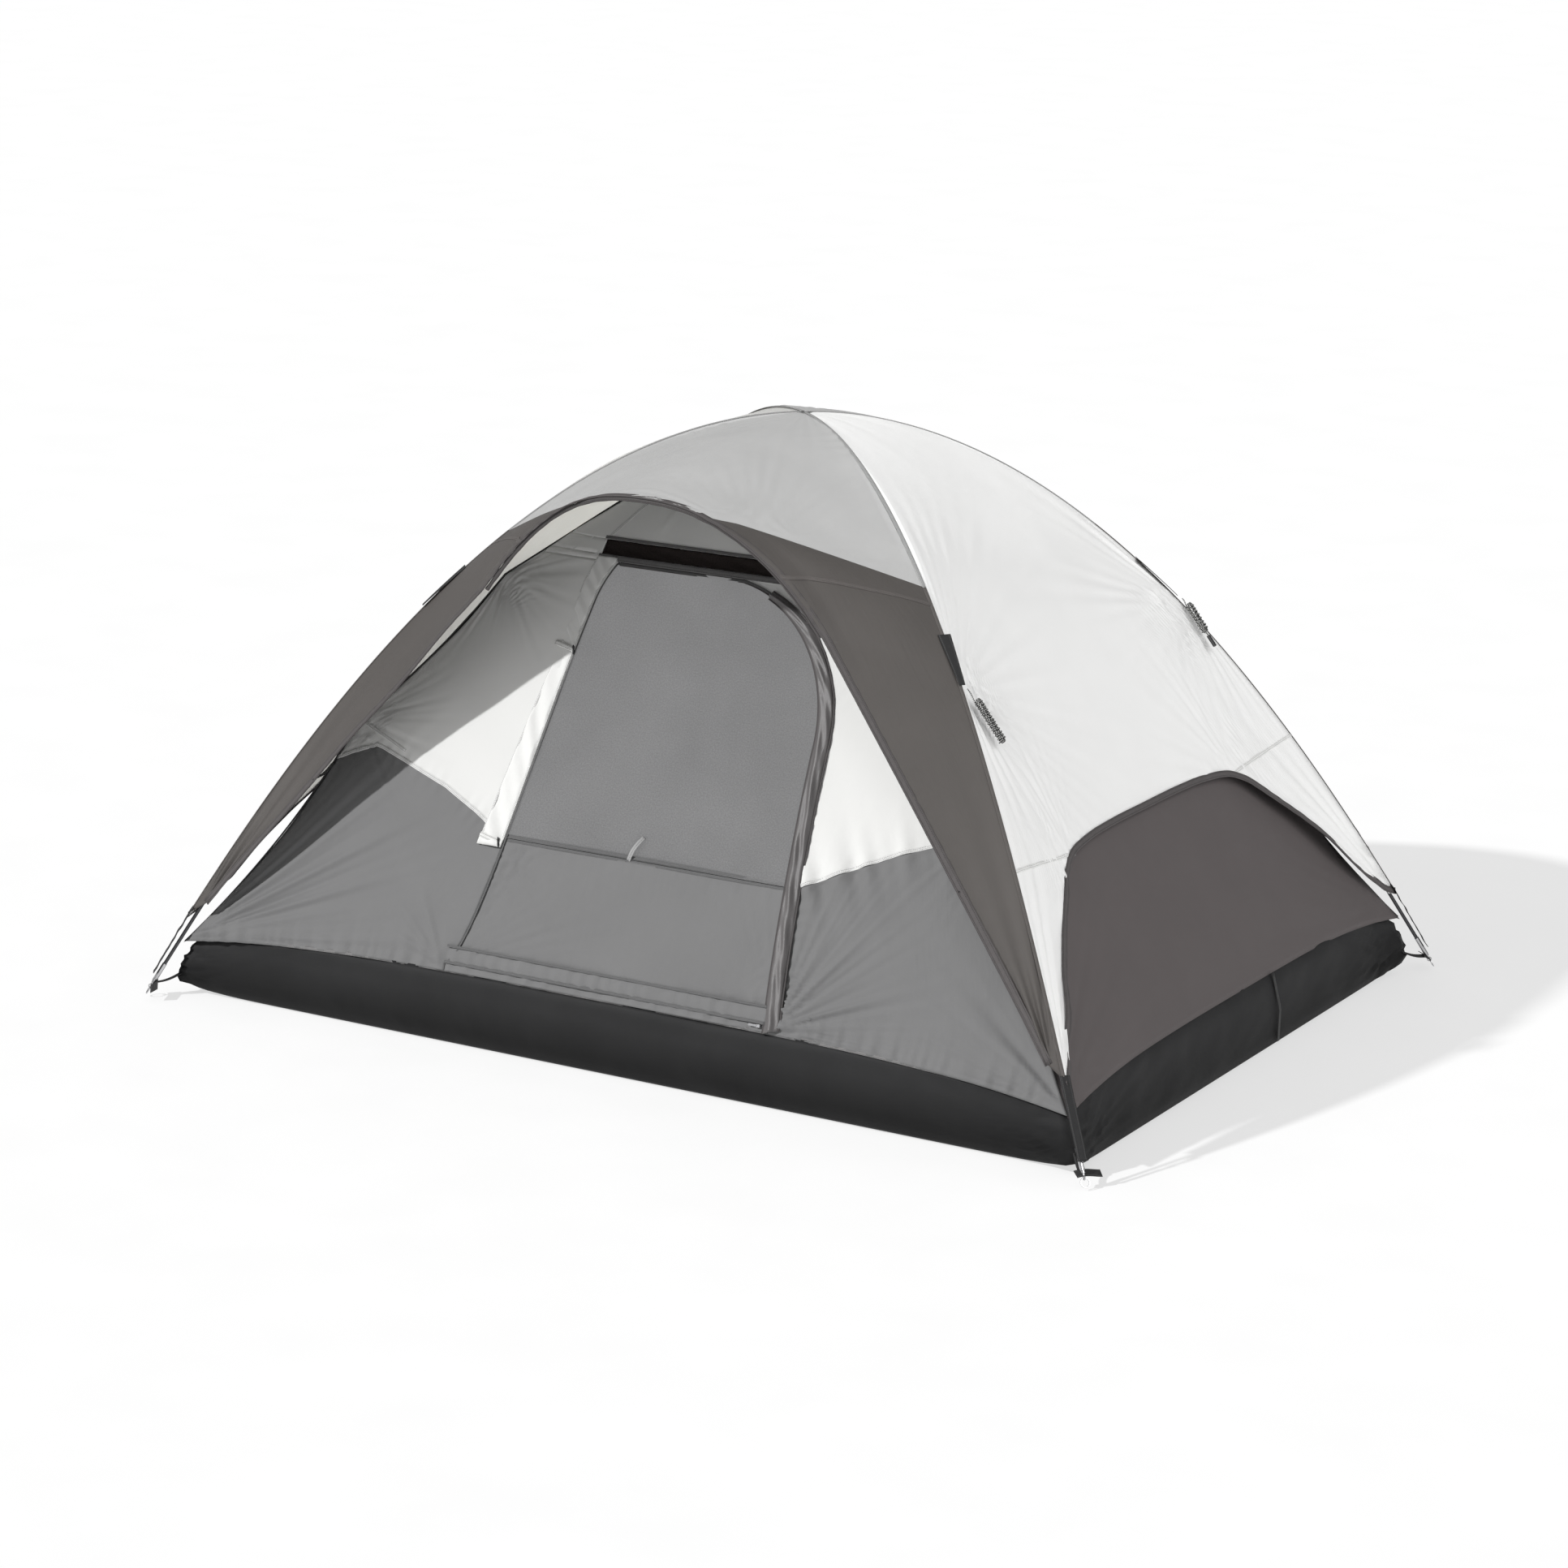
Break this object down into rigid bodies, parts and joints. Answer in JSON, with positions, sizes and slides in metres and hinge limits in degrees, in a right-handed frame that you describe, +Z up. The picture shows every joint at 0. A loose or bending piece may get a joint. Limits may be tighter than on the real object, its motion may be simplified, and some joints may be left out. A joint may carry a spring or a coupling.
{
  "type": "dome tent",
  "caption": "Dome tent on two crossed poles, with a clip-hung inner tent, mesh door, black tub floor and a grey and white rainfly cut away over the door and the two ends.",
  "frame": {"origin": "ground level under the crossing of the main poles", "axes": "+X along the long side of the floor, to the right seen from the door side; +Y from the door side to the rear; +Z up"},
  "size_m": [2.8, 2.0818, 1.5519],
  "materials": {
    "pole_tube": "dark glass-fibre tube with metal ferrules",
    "elastic_cord": "woven elastic cord",
    "steel": "plain bright steel",
    "black_plastic": "moulded black plastic",
    "webbing": "black polyester webbing",
    "cord": "black and white braided cord",
    "floor_cloth": "coated black oxford cloth",
    "fly_grey": "grey coated ripstop",
    "fly_white": "white coated ripstop",
    "wall_white": "white breathable cloth",
    "wall_taupe": "taupe cloth",
    "door_grey": "grey cloth",
    "insect_mesh": "fine grey insect mesh",
    "dark_mesh": "black insect mesh",
    "elastic_tape": "white tape with a black toggle"
  },
  "bodies": {
    "tent_body": {"clip_apex": "black_plastic", "clip_front_left_lower": "black_plastic", "clip_front_left_upper": "black_plastic", "clip_front_right_lower": "black_plastic", "clip_front_right_upper": "black_plastic", "clip_rear_left_lower": "black_plastic", "clip_rear_left_upper": "black_plastic", "clip_rear_right_lower": "black_plastic", "clip_rear_right_upper": "black_plastic", "corner_pin_front_left": "steel", "corner_pin_front_right": "steel", "corner_pin_rear_left": "steel", "corner_pin_rear_right": "steel", "corner_ring_front_left": "steel", "corner_ring_front_right": "steel", "corner_ring_rear_left": "steel", "corner_ring_rear_right": "steel", "door_tieback_lower": "elastic_tape", "door_tieback_upper": "elastic_tape", "floor_tub": "floor_cloth", "front_wall": "wall_white", "left_wall": "wall_taupe", "pole_a_section_1": "pole_tube", "pole_a_section_2": "pole_tube", "pole_a_section_3": "pole_tube", "pole_a_section_4": "pole_tube", "pole_a_section_5": "pole_tube", "pole_a_shock_cord": "elastic_cord", "pole_b_section_1": "pole_tube", "pole_b_section_2": "pole_tube", "pole_b_section_3": "pole_tube", "pole_b_section_4": "pole_tube", "pole_b_section_5": "pole_tube", "pole_b_shock_cord": "elastic_cord", "rear_wall": "wall_white", "right_wall": "wall_taupe", "roof_mesh": "dark_mesh", "vent_mesh": "dark_mesh"},
    "rainfly": {"fly_front_panel": "fly_grey", "fly_left_panel": "fly_white", "fly_rear_panel": "fly_grey", "fly_right_panel": "fly_white", "fly_strap_front_left": "webbing", "fly_strap_front_right": "webbing", "fly_strap_rear_left": "webbing", "fly_strap_rear_right": "webbing", "front_brow_pole": "pole_tube", "guy_tab_front_left": "webbing", "guy_tab_front_right": "webbing", "guy_tab_rear_left": "webbing", "guy_tab_rear_right": "webbing", "rear_brow_pole": "pole_tube"},
    "door": {"door_panel": "door_grey", "door_mesh": "insect_mesh", "door_storm_flap": "door_grey"},
    "slider_bottom": {"zip_slider_bottom": "steel"},
    "slider_side": {"zip_slider_side": "steel"},
    "guyline_front_hank": {"guyline_front": "cord"},
    "guyline_rear_hank": {"guyline_rear": "cord", "line_tensioner": "black_plastic"}
  },
  "joints": [
    {"name": "rainfly_lift", "type": "slide", "parent": "tent_body", "child": "rainfly", "axis": [0, 0, 1], "range_m": [0, 1.65]},
    {"name": "door_swing", "type": "hinge", "parent": "tent_body", "child": "door", "pos_m": [-0.38109, -0.72663, 0.68045], "axis": [-0.1771, -0.4646, -0.8676], "range_deg": [0, 75]},
    {"name": "zip_bottom", "type": "slide", "parent": "tent_body", "child": "slider_bottom", "axis": [-1, 0, 0], "range_m": [0, 0.9]},
    {"name": "zip_side", "type": "slide", "parent": "tent_body", "child": "slider_side", "axis": [-0.0745, 0.4051, 0.9112], "range_m": [0, 0.25]},
    {"name": "guyline_front_swing", "type": "hinge", "parent": "rainfly", "child": "guyline_front_hank", "pos_m": [0.812, -0.5935, 1.0421], "axis": [0, -1, 0], "range_deg": [0, 60]},
    {"name": "guyline_rear_swing", "type": "hinge", "parent": "rainfly", "child": "guyline_rear_hank", "pos_m": [0.812, 0.5935, 1.0421], "axis": [0, -1, 0], "range_deg": [0, 60]}
  ]
}
